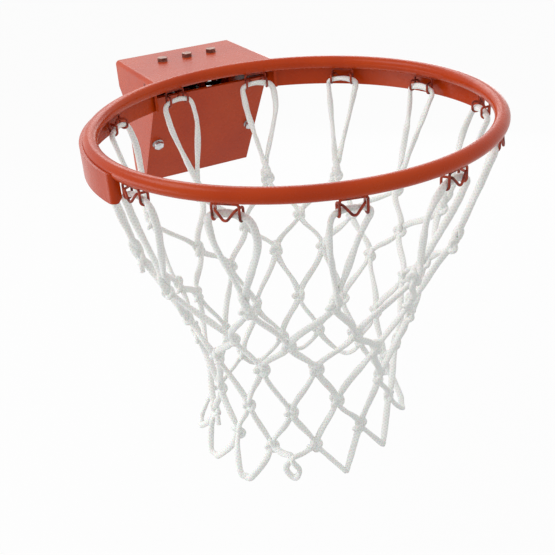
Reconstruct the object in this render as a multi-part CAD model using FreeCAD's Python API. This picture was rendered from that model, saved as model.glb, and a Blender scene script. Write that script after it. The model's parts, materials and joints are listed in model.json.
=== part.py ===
import FreeCAD, Part
import math
import os
import random

# Sprung basketball ring that bolts to a wall or backboard, with a knotted rope net.
# Millimetres. Origin: centre of the four wall holes, on the wall face.
# +X is to the right for someone facing the wall, +Y into the wall, +Z up.

V = FreeCAD.Vector
X_AXIS = V(1, 0, 0)
Y_AXIS = V(0, 1, 0)
Z_AXIS = V(0, 0, 1)
ORIGIN = V(0, 0, 0)

# Driving dimensions: ring
ring_inner = 450.0            # a clear opening for a ball of about 240
bar_dia = 17.0
ring_reach = 376.0            # wall face to the ring's centre
ring_height = 100.0           # wall holes' centre up to the ring's mid-plane

# Driving dimensions: sheet metal
channel_sheet = 4.0
side_sheet = 4.0
cover_sheet = 3.0
wall_sheet = 5.0
shelf_sheet = 5.0
wing_sheet = 4.0

# Tilting channel
channel_width = 182.0
channel_bend = 6.0            # outer bend radius
channel_top_above_ring = 6.5
channel_wall_gap = 3.0
flange_rear_depth = 37.5      # top face down to the start of the rear chamfer
flange_depth = 52.5           # top face down to the lowest corner
flange_chamfer = 13.0
flange_front_depth = 39.1     # top face down to the lower front corner
seat_bite = 4.0               # how far the top plate runs in over the bar's centre line

# Fixed bracket
side_gap = 2.6                # channel flange to side plate
foot_below_holes = 70.25      # wall holes' centre down to the lower edge of bracket and cover
wall_hole_x = 110.0
wall_hole_z = 90.0
slot_width = 12.5
slot_length = 20.0
wall_plate_corner = 8.0
side_top_below_ring = 14.0
cover_past_bar = 3.0          # the cover's upper outer edge, out from the bar's rear edge
cover_top_below_ring = 20.0
cover_foot_reach = 43.0       # wall face to the cover's lower outer edge
return_width = 16.0
return_start = 6.0            # along the cover, from its upper edge to the return flange
shelf_top_below_ring = 16.0
shelf_ahead = 31.5            # the shelf's front edge, out from the spring bolts
shelf_behind = 28.5           # the spring bolts back to the shelf's rear edge

# Hinge
pin_dia = 8.0
pin_behind_bar = 12.0         # the bar's rear edge back to the pin's axis
pin_below_ring = 4.6
pin_clearance = 0.05          # radial, in the ears and the thrust washers
pin_dimple = 4.5
ear_radius = 6.4
thrust_sheet = 2.0
thrust_dia = 12.0

# Spring bolts
bolt_dia = 8.0
bolt_spacing = 37.5
bolt_behind_middle = 6.5      # from midway between wall and pin, back to the spring bolts
bolt_flats = 13.0
bolt_head = 5.3
bolt_hole = 10.5
shelf_hole = 12.0
spring_wire = 5.0
spring_dia = 26.0
spring_length = 80.0
spring_coils = 8
seat_sheet = 2.0
seat_dia = 28.0
spring_washer_sheet = 3.0
nut_height = 6.5
lock_nut_height = 4.0
bolt_tail = 3.0
washer_clearance = 0.2

# Stop buffers
buffer_dia = 20.0
buffer_inset = 20.4           # inner face of a side plate to the buffer's axis
buffer_behind = 13.5          # the spring bolts back to the buffers
buffer_gap = 0.3
buffer_round = 1.5
buffer_stud = 6.0
buffer_nut_flats = 10.0
buffer_nut_height = 5.0
buffer_stud_tail = 2.0

# Cover screws
cover_screw_inset = 11.9      # side edge of the cover to the screw's axis
cover_screw_down = 93.0       # along the cover from its upper edge
cover_hole = 9.0
cover_washer_dia = 16.0
cover_washer_sheet = 1.6
cover_screw_tail = 3.0

# Wings
wing_top_below_channel = 6.0
wing_depth = 33.1
wing_end_angle = 100.0        # from the wall-ward direction, to the start of the end bend
wing_bend = 3.0               # inner bend radius
wing_lip = 5.0
wing_corner = 6.0
weld_bite = 0.2

# Net hooks
hook_wire = 2.8
hook_half_width = 14.0
hook_drop = 18.5
hook_throat = 10.0
hook_lip_drop = 5.75          # top wire down to where the wire turns back into the V
hook_neck_half = 10.5         # half the width where the V starts
hook_neck_reach = 1.0         # outward from the bar's centre line, as the next one
hook_apex_reach = 3.5
hook_bend = 3.0
hook_lip_bend = 2.5
hook_apex_bend = 4.0
hook_seat = 0.4               # how far the hook's top wire is let into the bar
hook_count = 12
hook_wing_shift = 1.4         # degrees that the two hooks beside the wings' ends stand clear of them
hook_angles = [360 / hook_count * (k + 0.5) for k in range(hook_count)]
hook_angles[3] += hook_wing_shift
hook_angles[8] -= hook_wing_shift

# Net: rows of knots from the hooks down, then the tips of the bottom loops
rope_dia = 6.0
rope_clearance = 0.1
loop_clearance = 1.5          # sideways, from a hook's wire to the rope that falls past it
knot_radius = 6.5
row_1_radius = 188.0
row_2_radius = 155.0
row_3_radius = 140.0
row_4_radius = 121.0
row_5_radius = 115.0
tip_radius = 131.0
row_1_drop = 143.0            # below the ring's mid-plane
row_2_drop = 196.0
row_3_drop = 238.0
row_4_drop = 305.0
row_5_drop = 357.0
tip_drop = 396.0
net_lean_x = -0.082           # sideways drift of the hanging net per millimetre of drop
net_lean_y = -0.047
net_sag = 11.0                # below the first row one side hangs lower by this, and the other higher
net_sag_towards = 245
net_slump = 8.0               # and lies over to another side by this much
net_slump_towards = 85
net_oval = 3.5                # degrees that knots draw together at the sides
knot_stray = 3.0              # hand-tied knots lie this far off at most, outward and downward
knot_stray_turn = 1.5         # and this many degrees along the net
net_seed = 22

# Derived sizes
ring_centre = V(0, -ring_reach, ring_height)
mesh_turn = 360 / len(hook_angles)
bar_radius = bar_dia / 2
ring_radius = ring_inner / 2 + bar_radius
ring_outer = ring_radius + bar_radius
bar_rear_reach = ring_reach - ring_outer
channel_top = ring_height + channel_top_above_ring
channel_under = channel_top - channel_sheet
flange_inner = channel_width / 2 - channel_sheet
side_outer = flange_inner - side_gap
side_inner = side_outer - side_sheet
buffer_x = side_inner - buffer_inset
cover_screw_x = side_outer - cover_screw_inset
wall_front = -wall_sheet
side_top = ring_height - side_top_below_ring
bracket_foot = -foot_below_holes
pin_y = -(bar_rear_reach - pin_behind_bar)
cover_top_y = -(bar_rear_reach + cover_past_bar)
pin_z = ring_height - pin_below_ring
shelf_top = ring_height - shelf_top_below_ring
shelf_under = shelf_top - shelf_sheet
bolt_xs = {"left": -bolt_spacing, "middle": 0.0, "right": bolt_spacing}
bolt_y = pin_y / 2 + bolt_behind_middle
buffer_y = bolt_y + buffer_behind
sides = {"left": -1, "right": 1}


def save(shape, name):
    """Writes one piece."""
    shape = shape.removeSplitter()
    shape.exportStep("parts/" + name + ".step")


def cylinder(radius, height, base, axis=Z_AXIS):
    return Part.makeCylinder(radius, height, base, axis)


def box(x0, x1, y0, y1, z0, z1):
    return Part.makeBox(x1 - x0, y1 - y0, z1 - z0, V(x0, y0, z0))


def slab(points, along):
    """A flat outline of points, drawn out along a vector."""
    return Part.Face(Part.makePolygon(points + [points[0]])).extrude(along)


def side_slab(outline, x0, x1):
    """A (y, z) outline drawn out from x0 to x1."""
    return slab([V(x0, y, z) for y, z in outline], V(x1 - x0, 0, 0))


def hexagon(flats, height, base, axis=Z_AXIS, turn=0.0):
    """A hexagonal prism with its top corners chamfered. Two flats face X, before the turn in degrees."""
    corner = flats / math.sqrt(3)
    points = []
    for k in range(6):
        angle = math.radians(60 * k + 30 + turn)
        points.append(V(corner * math.cos(angle), corner * math.sin(angle), 0))
    top_radius = corner * 0.93
    prism = slab(points, V(0, 0, height)).common(Part.makeCone(top_radius + height, top_radius, height))
    prism.Placement = FreeCAD.Placement(base, FreeCAD.Rotation(Z_AXIS, axis))
    return prism


def ring_bar():
    return Part.makeTorus(ring_radius, bar_radius, ring_centre, Z_AXIS)


def around_ring(radius, angle, z=0.0):
    """A point at an angle from the wall-ward direction, turning towards +X."""
    turn = math.radians(angle)
    return ring_centre + V(radius * math.sin(turn), radius * math.cos(turn), z)


def bent_rod(points, bends, radius):
    """Pieces of a round rod through the points, with a bend of the given radius at each inner point."""
    pieces = []
    start = points[0]
    for before, corner, after, bend in zip(points, points[1:], points[2:], bends):
        back = (before - corner).normalize()
        ahead = (after - corner).normalize()
        half = back.getAngle(ahead) / 2
        first = corner + back * (bend / math.tan(half))
        centre = corner + (back + ahead).normalize() * (bend / math.sin(half))
        pieces.append(cylinder(radius, (first - start).Length, start, first - start))
        disc = Part.Face(Part.Wire(Part.makeCircle(radius, first, back)))
        pieces.append(disc.revolve(centre, ahead.cross(back), 180 - math.degrees(2 * half)))
        start = corner + ahead * (bend / math.tan(half))
    pieces.append(cylinder(radius, (points[-1] - start).Length, start, points[-1] - start))
    return pieces


def fused(pieces):
    return pieces[0].multiFuse(pieces[1:])


def build_ring():
    save(ring_bar(), "ring")


def build_channel():
    half = channel_width / 2
    rear = -channel_wall_gap
    front = ring_centre.y + ring_radius * 0.8
    low = channel_top - flange_depth
    outer = box(-half, half, front, rear, low, channel_top)
    edges = [e for e in outer.Edges if abs(e.BoundBox.ZMin - channel_top) < 1e-6 and e.BoundBox.YLength > 1
             and e.BoundBox.XLength < 1e-6]
    outer = outer.makeFillet(channel_bend, edges)
    inner = box(-flange_inner, flange_inner, front, rear, low, channel_under)
    edges = [e for e in inner.Edges if abs(e.BoundBox.ZMin - channel_under) < 1e-6 and e.BoundBox.YLength > 1
             and e.BoundBox.XLength < 1e-6]
    inner = inner.makeFillet(channel_bend - channel_sheet, edges)
    channel = outer.cut(inner)
    outline = [
        (rear, channel_top),
        (rear, channel_top - flange_rear_depth),
        (rear - flange_chamfer, low),
        (ring_centre.y + ring_radius, channel_top - flange_front_depth),
        (front, channel_top - flange_front_depth),
        (front, channel_top),
    ]
    channel = channel.common(side_slab(outline, -half, half))
    seat = cylinder(ring_radius + seat_bite, 4 * flange_depth, ring_centre - V(0, 0, 2 * flange_depth))
    channel = channel.cut(seat).cut(ring_bar())
    for x in bolt_xs.values():
        drill_at = V(x, bolt_y, channel_under - channel_sheet)
        channel = channel.cut(cylinder(bolt_hole / 2, 3 * channel_sheet, drill_at))
    channel = channel.cut(cylinder(pin_dia / 2, channel_width + 2, V(-half - 1, pin_y, pin_z), X_AXIS))
    save(channel, "rim_channel")


def build_wing(name, side):
    inner = ring_outer - weld_bite
    outer = inner + wing_sheet
    top = channel_top - wing_top_below_channel
    base = top - wing_depth
    flange_face = channel_width / 2
    bend_at = around_ring(inner - wing_bend, wing_end_angle)
    turn = math.radians(wing_end_angle)
    radial = V(math.sin(turn), math.cos(turn), 0)
    forward = V(math.cos(turn), -math.sin(turn), 0)
    start_in = math.degrees(math.asin(flange_face / inner))
    start_out = math.degrees(math.asin(flange_face / outer))
    diagonal = (radial + forward).normalize()
    outer_bend = wing_bend + wing_sheet
    corners = [
        around_ring(outer, start_out),
        around_ring(outer, (start_out + wing_end_angle) / 2),
        around_ring(outer, wing_end_angle),
        bend_at + diagonal * outer_bend,
        bend_at + forward * outer_bend,
        bend_at + forward * outer_bend - radial * wing_lip,
        bend_at + forward * wing_bend - radial * wing_lip,
        bend_at + forward * wing_bend,
        bend_at + diagonal * wing_bend,
        around_ring(inner, wing_end_angle),
        around_ring(inner, (start_in + wing_end_angle) / 2),
        around_ring(inner, start_in),
    ]
    edges = [
        Part.Arc(corners[0], corners[1], corners[2]).toShape(),
        Part.Arc(corners[2], corners[3], corners[4]).toShape(),
        Part.makeLine(corners[4], corners[5]),
        Part.makeLine(corners[5], corners[6]),
        Part.makeLine(corners[6], corners[7]),
        Part.Arc(corners[7], corners[8], corners[9]).toShape(),
        Part.Arc(corners[9], corners[10], corners[11]).toShape(),
        Part.makeLine(corners[11], corners[0]),
    ]
    wing = Part.Face(Part.Wire(edges)).extrude(V(0, 0, wing_depth))
    wing.translate(V(0, 0, base - ring_centre.z))
    lip_end = bend_at + forward * (wing_bend - 1) - radial * wing_lip
    foot = V(lip_end.x, lip_end.y, base)
    knockoff = slab([foot - radial - V(0, 0, 1), foot + radial * wing_corner - V(0, 0, 1),
                     foot - radial + V(0, 0, wing_corner)], forward * (wing_sheet + 2))
    wing = wing.cut(knockoff).cut(ring_bar())
    if side < 0:
        wing = wing.mirror(ORIGIN, X_AXIS)
    save(wing, name)


def build_hooks():
    """One bent wire: under the bar, round both seats, and across as a V that keeps the rope in."""
    wire = hook_wire / 2
    top = -bar_radius - wire + hook_seat
    half_path = [
        (hook_half_width, 0, 0),
        (hook_half_width, 0, -hook_drop),
        (hook_half_width, -hook_throat, -hook_drop),
        (hook_half_width, -hook_throat, -hook_lip_drop),
        (hook_neck_half, hook_neck_reach, -hook_lip_drop),
    ]
    throat_bend = hook_throat / 2 - 0.1
    half_bends = [hook_bend, throat_bend, throat_bend, hook_lip_bend, hook_bend]
    middle = (0, 0, 0)
    apex = (0, hook_apex_reach, -hook_drop)
    path = [middle] + half_path + [apex] + [(-t, r, z) for t, r, z in reversed(half_path)] + [middle]
    bends = half_bends + [hook_apex_bend] + half_bends[::-1]
    points = [V(t, ring_centre.y + ring_radius + r, ring_centre.z + top + z) for t, r, z in path]
    hook = fused(bent_rod(points, bends, wire)).cut(ring_bar())
    for k, angle in enumerate(hook_angles):
        placed = hook.copy()
        placed.rotate(ring_centre, Z_AXIS, -angle)
        save(placed, "net_hook_%02d" % (k + 1))


def cover_line():
    """Upper outer edge of the cover, the direction down its face, and its outward normal, in (y, z)."""
    top = V(0, cover_top_y, ring_height - cover_top_below_ring)
    foot = V(0, -cover_foot_reach, bracket_foot)
    down = (foot - top).normalize()
    outward = V(0, down.z, -down.y)
    return top, foot, down, outward


def build_bracket():
    top, foot, down, outward = cover_line()
    plate = box(-side_outer, side_outer, wall_front, 0, bracket_foot, side_top)
    upright = [e for e in plate.Edges if e.BoundBox.YLength > wall_sheet - 1e-6]
    plate = plate.makeFillet(wall_plate_corner, upright)
    straight = (slot_length - slot_width) / 2
    for x in (-wall_hole_x / 2, wall_hole_x / 2):
        for z in (-wall_hole_z / 2, wall_hole_z / 2):
            slot = box(x - straight, x + straight, wall_front - 1, 1, z - slot_width / 2, z + slot_width / 2)
            for end in (x - straight, x + straight):
                slot = slot.fuse(cylinder(slot_width / 2, wall_sheet + 2, V(end, wall_front - 1, z), Y_AXIS))
            plate = plate.cut(slot)
    save(plate, "wall_plate")

    inner_top = top - outward * cover_sheet
    slope = down.y / down.z
    inner_foot = V(0, inner_top.y + (bracket_foot - inner_top.z) * slope, bracket_foot)
    shoulder = V(0, pin_y + 2.2 * ear_radius, side_top)
    outline = [
        (wall_front, bracket_foot),
        (wall_front, side_top),
        (shoulder.y, shoulder.z),
        (pin_y + ear_radius * 0.8, pin_z - ear_radius * 0.6),
        (pin_y - ear_radius, pin_z - ear_radius * 0.2),
        (inner_top.y, inner_top.z),
        (inner_foot.y, inner_foot.z),
    ]
    beyond = (foot - top).Length
    start = inner_top - down * beyond
    end = inner_foot + down * beyond
    far = outward * beyond
    in_front = [(p.y, p.z) for p in (start, end, end + far, start + far)]
    for name, side in sides.items():
        x0, x1 = sorted((side * side_inner, side * side_outer))
        cheek = side_slab(outline, x0, x1)
        cheek = cheek.fuse(cylinder(ear_radius, side_sheet, V(x0, pin_y, pin_z), X_AXIS))
        back = inner_top - outward * side_sheet
        strip = [
            (inner_top.y + return_start * down.y, inner_top.z + return_start * down.z),
            (inner_foot.y, inner_foot.z),
            (inner_foot.y - outward.y * side_sheet, inner_foot.z - outward.z * side_sheet),
            (back.y + return_start * down.y, back.z + return_start * down.z),
        ]
        r0, r1 = sorted((side * (side_inner - return_width), side * side_outer))
        cheek = cheek.fuse(side_slab(strip, r0, r1))
        cheek = cheek.common(box(-side_outer, side_outer, cover_top_y, wall_front, bracket_foot, channel_top))
        cheek = cheek.removeSplitter()
        cheek = cheek.cut(side_slab(in_front, -side_outer - 1, side_outer + 1))
        ear_bore = cylinder(pin_dia / 2 + pin_clearance, side_sheet + 2, V(x0 - 1, pin_y, pin_z), X_AXIS)
        cheek = cheek.cut(ear_bore)
        drill_at = top + down * cover_screw_down + V(side * cover_screw_x, 0, 0)
        cheek = cheek.cut(cylinder(cover_hole / 2, 2 * (cover_sheet + side_sheet), drill_at, -outward))
        save(cheek, "side_plate_" + name)

    back_foot = foot - outward * cover_sheet
    cover_outline = [(top.y, top.z), (foot.y, foot.z), (back_foot.y, back_foot.z), (inner_top.y, inner_top.z)]
    cover = side_slab(cover_outline, -side_outer, side_outer)
    for side in sides.values():
        drill_at = top + down * cover_screw_down + V(side * cover_screw_x, 0, 0)
        cover = cover.cut(cylinder(cover_hole / 2, 2 * cover_sheet, drill_at, -outward))
    save(cover, "front_cover")


def build_cover_screws():
    top, _, down, outward = cover_line()
    for name, side in sides.items():
        face = top + down * cover_screw_down + V(side * cover_screw_x, 0, 0)
        washer = cylinder(cover_washer_dia / 2, cover_washer_sheet, face, outward)
        washer = washer.cut(cylinder(bolt_dia / 2 + washer_clearance, cover_washer_sheet, face, outward))
        save(washer, "cover_washer_" + name)
        seat = face + outward * cover_washer_sheet
        stack = cover_washer_sheet + cover_sheet + side_sheet
        screw = hexagon(bolt_flats, bolt_head, seat, outward)
        screw = screw.fuse(cylinder(bolt_dia / 2, stack + nut_height + cover_screw_tail, seat, -outward))
        save(screw, "cover_screw_" + name)
        nut_face = face - outward * (cover_sheet + side_sheet)
        nut = hexagon(bolt_flats, nut_height, nut_face, -outward)
        nut = nut.cut(cylinder(bolt_dia / 2, nut_height, nut_face, -outward))
        save(nut, "cover_nut_" + name)


def build_shelf():
    shelf = box(-side_inner, side_inner, bolt_y - shelf_ahead, bolt_y + shelf_behind, shelf_under, shelf_top)
    for x in bolt_xs.values():
        shelf = shelf.cut(cylinder(shelf_hole / 2, shelf_sheet + 2, V(x, bolt_y, shelf_under - 1)))
    for side in sides.values():
        at = V(side * buffer_x, buffer_y, shelf_under - 1)
        shelf = shelf.cut(cylinder(buffer_stud / 2, shelf_sheet + 2, at))
    save(shelf, "spring_shelf")
    for name, x in bolt_xs.items():
        seat = cylinder(seat_dia / 2, seat_sheet, V(x, bolt_y, shelf_under - seat_sheet))
        seat = seat.cut(cylinder(shelf_hole / 2, seat_sheet, V(x, bolt_y, shelf_under - seat_sheet)))
        save(seat, "spring_seat_" + name)
    for name, side in sides.items():
        at = V(side * buffer_x, buffer_y, shelf_top)
        height = channel_under - buffer_gap - shelf_top
        pad = cylinder(buffer_dia / 2, height, at)
        flat_edges = [e for e in pad.Edges if e.BoundBox.ZLength < 1e-6]
        top_edges = [e for e in flat_edges if abs(e.BoundBox.ZMin - at.z - height) < 1e-6]
        pad = pad.makeFillet(buffer_round, top_edges)
        stud_length = shelf_sheet + buffer_nut_height + buffer_stud_tail
        pad = pad.fuse(cylinder(buffer_stud / 2, stud_length, at - V(0, 0, stud_length)))
        save(pad, "stop_buffer_" + name)
        nut_at = V(at.x, at.y, shelf_under - buffer_nut_height)
        nut = hexagon(buffer_nut_flats, buffer_nut_height, nut_at)
        nut = nut.cut(cylinder(buffer_stud / 2, buffer_nut_height, nut_at))
        save(nut, "buffer_nut_" + name)


def build_hinge():
    pin = cylinder(pin_dia / 2, channel_width, V(-channel_width / 2, pin_y, pin_z), X_AXIS)
    for side in sides.values():
        tip = V(side * channel_width / 2, pin_y, pin_z)
        pin = pin.cut(Part.makeCone(pin_dimple / 2, 0, pin_dimple / 2, tip, V(-side, 0, 0)))
    save(pin, "hinge_pin")
    slack = (side_gap - thrust_sheet) / 2
    for name, side in sides.items():
        inner_x = side_outer + slack
        x0 = inner_x if side > 0 else -inner_x - thrust_sheet
        washer = cylinder(thrust_dia / 2, thrust_sheet, V(x0, pin_y, pin_z), X_AXIS)
        washer = washer.cut(cylinder(pin_dia / 2 + pin_clearance, thrust_sheet, V(x0, pin_y, pin_z), X_AXIS))
        save(washer, "thrust_washer_" + name)


def build_spring_bolts():
    spring_top = shelf_under - seat_sheet
    spring_foot = spring_top - spring_length
    washer_foot = spring_foot - spring_washer_sheet
    nut_foot = washer_foot - nut_height
    lock_foot = nut_foot - lock_nut_height
    tail = lock_foot - bolt_tail
    coil_radius = (spring_dia - spring_wire) / 2
    rise = spring_length - spring_wire
    for name, x in bolt_xs.items():
        bolt = hexagon(bolt_flats, bolt_head, V(x, bolt_y, channel_top), turn=30)
        bolt = bolt.fuse(cylinder(bolt_dia / 2, channel_top - tail, V(x, bolt_y, tail)))
        save(bolt, "spring_bolt_" + name)

        helix = Part.makeLongHelix(rise / spring_coils, rise, coil_radius, 0)
        helix.translate(V(x, bolt_y, spring_foot + spring_wire / 2))
        start = V(x + coil_radius, bolt_y, spring_foot + spring_wire / 2)
        section = Part.Wire(Part.makeCircle(spring_wire / 2, start, Y_AXIS))
        spring = Part.Wire(helix.Edges).makePipeShell([section], True, False)
        save(spring, "spring_" + name)

        washer = cylinder(seat_dia / 2, spring_washer_sheet, V(x, bolt_y, washer_foot))
        bore = cylinder(bolt_dia / 2 + washer_clearance, spring_washer_sheet, V(x, bolt_y, washer_foot))
        save(washer.cut(bore), "spring_washer_" + name)
        nuts = (("spring_nut_", nut_height, nut_foot), ("lock_nut_", lock_nut_height, lock_foot))
        for kind, height, base in nuts:
            nut = hexagon(bolt_flats, height, V(x, bolt_y, base))
            nut = nut.cut(cylinder(bolt_dia / 2, height, V(x, bolt_y, base)))
            save(nut, kind + name)


def net_point(radius, angle, drop):
    """A point of the hanging net, with its lean."""
    return around_ring(radius, angle, -drop) + V(net_lean_x * drop, net_lean_y * drop, 0)


def wave(size, degrees):
    return size * math.cos(math.radians(degrees))


def net_knots():
    """Knots by (row, angle). Below the first row the net sags, slumps and goes oval, and each knot strays."""
    rows = [(row_1_radius, row_1_drop), (row_2_radius, row_2_drop), (row_3_radius, row_3_drop),
            (row_4_radius, row_4_drop), (row_5_radius, row_5_drop), (tip_radius, tip_drop)]
    uneven = random.Random(net_seed)
    knots = {}
    for row, (radius, drop) in enumerate(rows, start=1):
        for k in range(len(hook_angles)):
            angle = mesh_turn * (k + row % 2 / 2)
            slack = 0 if row == 1 else 1
            turn = uneven.uniform(-knot_stray_turn, knot_stray_turn) + slack * wave(net_oval, 2 * angle)
            out = uneven.uniform(-knot_stray, knot_stray) + slack * wave(net_slump, angle - net_slump_towards)
            fall = uneven.uniform(-knot_stray, knot_stray) + slack * wave(net_sag, angle - net_sag_towards)
            knots[row, angle] = net_point(radius + out, angle + turn, drop + fall)
    return knots


def rope(start, end):
    return cylinder(rope_dia / 2, (end - start).Length, start, end - start)


def knot_ball(point, angle):
    """A knot, its poles facing in and out of the net, where no strand leaves it."""
    ball = Part.makeSphere(knot_radius)
    turn = math.radians(angle)
    along = V(math.cos(turn), -math.sin(turn), 0)
    out = V(math.sin(turn), math.cos(turn), 0)
    ball.Placement = FreeCAD.Placement(point, FreeCAD.Rotation(along, out.cross(along), out, "ZXY"))
    return ball


def build_net():
    knots = net_knots()
    strands = []
    loops = []
    wire = hook_wire / 2
    cradle = bar_radius + wire - hook_seat + hook_drop - wire - rope_dia / 2 - rope_clearance
    cradle_radius = ring_radius - hook_throat / 2
    reach = hook_half_width + wire + rope_dia / 2 + loop_clearance
    for k, hook_angle in enumerate(hook_angles):
        knot = knots[1, mesh_turn * (k + 0.5)]
        turn = math.radians(hook_angle)
        tangent = V(math.cos(turn), -math.sin(turn), 0)
        middle = around_ring(cradle_radius, hook_angle, -cradle)
        beside = tangent * (rope_dia / 2 + 0.05)
        points = [knot - beside, middle - tangent * reach, middle + tangent * reach, knot + beside]
        loops.append(fused(bent_rod(points, [4.0, 4.0], rope_dia / 2)))
    for row in range(1, 5):
        for k in range(len(hook_angles)):
            angle = mesh_turn * (k + row % 2 / 2)
            for step in (-mesh_turn / 2, mesh_turn / 2):
                strands.append(rope(knots[row, angle], knots[row + 1, (angle + step) % 360]))
    for k in range(len(hook_angles)):
        first = knots[5, mesh_turn * (k + 0.5)]
        tip = knots[6, mesh_turn * (k + 1) % 360]
        last = knots[5, mesh_turn * (k + 1.5) % 360]
        bow = Part.Arc(first, tip, last).toShape()
        from_angle, to_angle = bow.ParameterRange
        disc = Part.Face(Part.Wire(Part.makeCircle(rope_dia / 2, first, bow.tangentAt(from_angle))))
        loops.append(disc.revolve(bow.Curve.Center, bow.Curve.Axis, math.degrees(to_angle - from_angle)))
    for (row, angle), point in knots.items():
        if row < 6:
            strands.append(knot_ball(point, angle))
    net = fused(strands)
    for loop in loops:
        net = net.fuse(loop)
    save(net, "net")


os.makedirs("parts", exist_ok=True)
build_ring()
build_channel()
for wing_name, wing_side in sides.items():
    build_wing("wing_" + wing_name, wing_side)
build_hooks()
build_bracket()
build_cover_screws()
build_shelf()
build_hinge()
build_spring_bolts()
build_net()
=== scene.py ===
import bpy
import json
import math
import random
from mathutils import Matrix, Vector


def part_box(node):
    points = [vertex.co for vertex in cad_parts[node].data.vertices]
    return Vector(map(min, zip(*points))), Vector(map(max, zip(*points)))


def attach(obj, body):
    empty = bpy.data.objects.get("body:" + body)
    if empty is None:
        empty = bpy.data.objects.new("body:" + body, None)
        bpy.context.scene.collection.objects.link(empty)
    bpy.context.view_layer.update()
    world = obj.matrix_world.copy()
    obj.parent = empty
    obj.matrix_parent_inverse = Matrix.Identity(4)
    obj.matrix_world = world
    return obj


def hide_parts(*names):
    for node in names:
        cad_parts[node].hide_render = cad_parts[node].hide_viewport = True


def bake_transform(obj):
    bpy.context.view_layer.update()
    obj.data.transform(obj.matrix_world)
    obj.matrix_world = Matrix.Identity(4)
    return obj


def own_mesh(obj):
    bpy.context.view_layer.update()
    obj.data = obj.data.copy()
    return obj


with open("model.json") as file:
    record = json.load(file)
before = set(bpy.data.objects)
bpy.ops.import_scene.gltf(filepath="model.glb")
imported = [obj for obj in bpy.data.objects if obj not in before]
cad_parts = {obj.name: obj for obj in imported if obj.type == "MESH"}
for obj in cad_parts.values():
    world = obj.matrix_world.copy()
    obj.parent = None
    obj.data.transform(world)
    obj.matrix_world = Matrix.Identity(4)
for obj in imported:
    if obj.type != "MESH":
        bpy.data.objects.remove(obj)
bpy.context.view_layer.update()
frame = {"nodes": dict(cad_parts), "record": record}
nodes = frame["nodes"]
print("stage 1: steel frame loaded,", len(nodes), "nodes")


def addNode(tree, kind, inputs=None, **settings):
    # one node, its settings, then its input values or links
    node = tree.nodes.new(kind)
    for name, value in settings.items():
        setattr(node, name, value)
    for key, value in (inputs or {}).items():
        if isinstance(value, bpy.types.NodeSocket):
            tree.links.new(value, node.inputs[key])
        else:
            node.inputs[key].default_value = value
    return node


def paint(hexColour, alpha=1.0):
    # sRGB hex to the linear values a shader wants
    channels = []
    for start in (0, 2, 4):
        c = int(hexColour[start:start + 2], 16) / 255
        channels.append(c / 12.92 if c <= 0.04045 else ((c + 0.055) / 1.055) ** 2.4)
    return (*channels, alpha)


def metres(millimetres):
    # for a number or a vector
    return millimetres / 1000


def perMm(size):
    # texture scale for a pattern of that many millimetres, on coordinates in metres
    return 1000.0 / size


def newMaterial(name, **constants):
    material = bpy.data.materials.new(name)
    material.use_nodes = True
    tree = material.node_tree
    shader = tree.nodes["Principled BSDF"]
    for key, value in constants.items():
        shader.inputs[key.replace("_", " ")].default_value = value
    return material, tree, shader


def ramp(tree, factor, stops):
    node = addNode(tree, "ShaderNodeValToRGB", {"Fac": factor})
    elements = node.color_ramp.elements
    elements[0].position, elements[0].color = stops[0]
    elements[1].position, elements[1].color = stops[-1]
    for position, colour in stops[1:-1]:
        elements.new(position).color = colour
    return node.outputs["Color"]


coatLook = {
    "body": "b43904",
    "deep": "a93102",          # where the coat lies thicker
    "faded": "bb420b",
    "edge": "8e2a10",          # thin coat on sharp edges shows darker steel through
    "dust": "d96a48",
    "cloudMm": 90.0,
    "peelMm": 3.5,             # orange peel of the cured powder
    "speckMm": 0.8,
    "scuffMm": 14.0,
    "edgeMm": 0.5,
    "edgeWear": 0.6,
    "dustiness": 0.12,
    "glossy": 0.22,            # roughness, and what it rises to in the scuffs
    "scuffed": 0.32,
}


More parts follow.
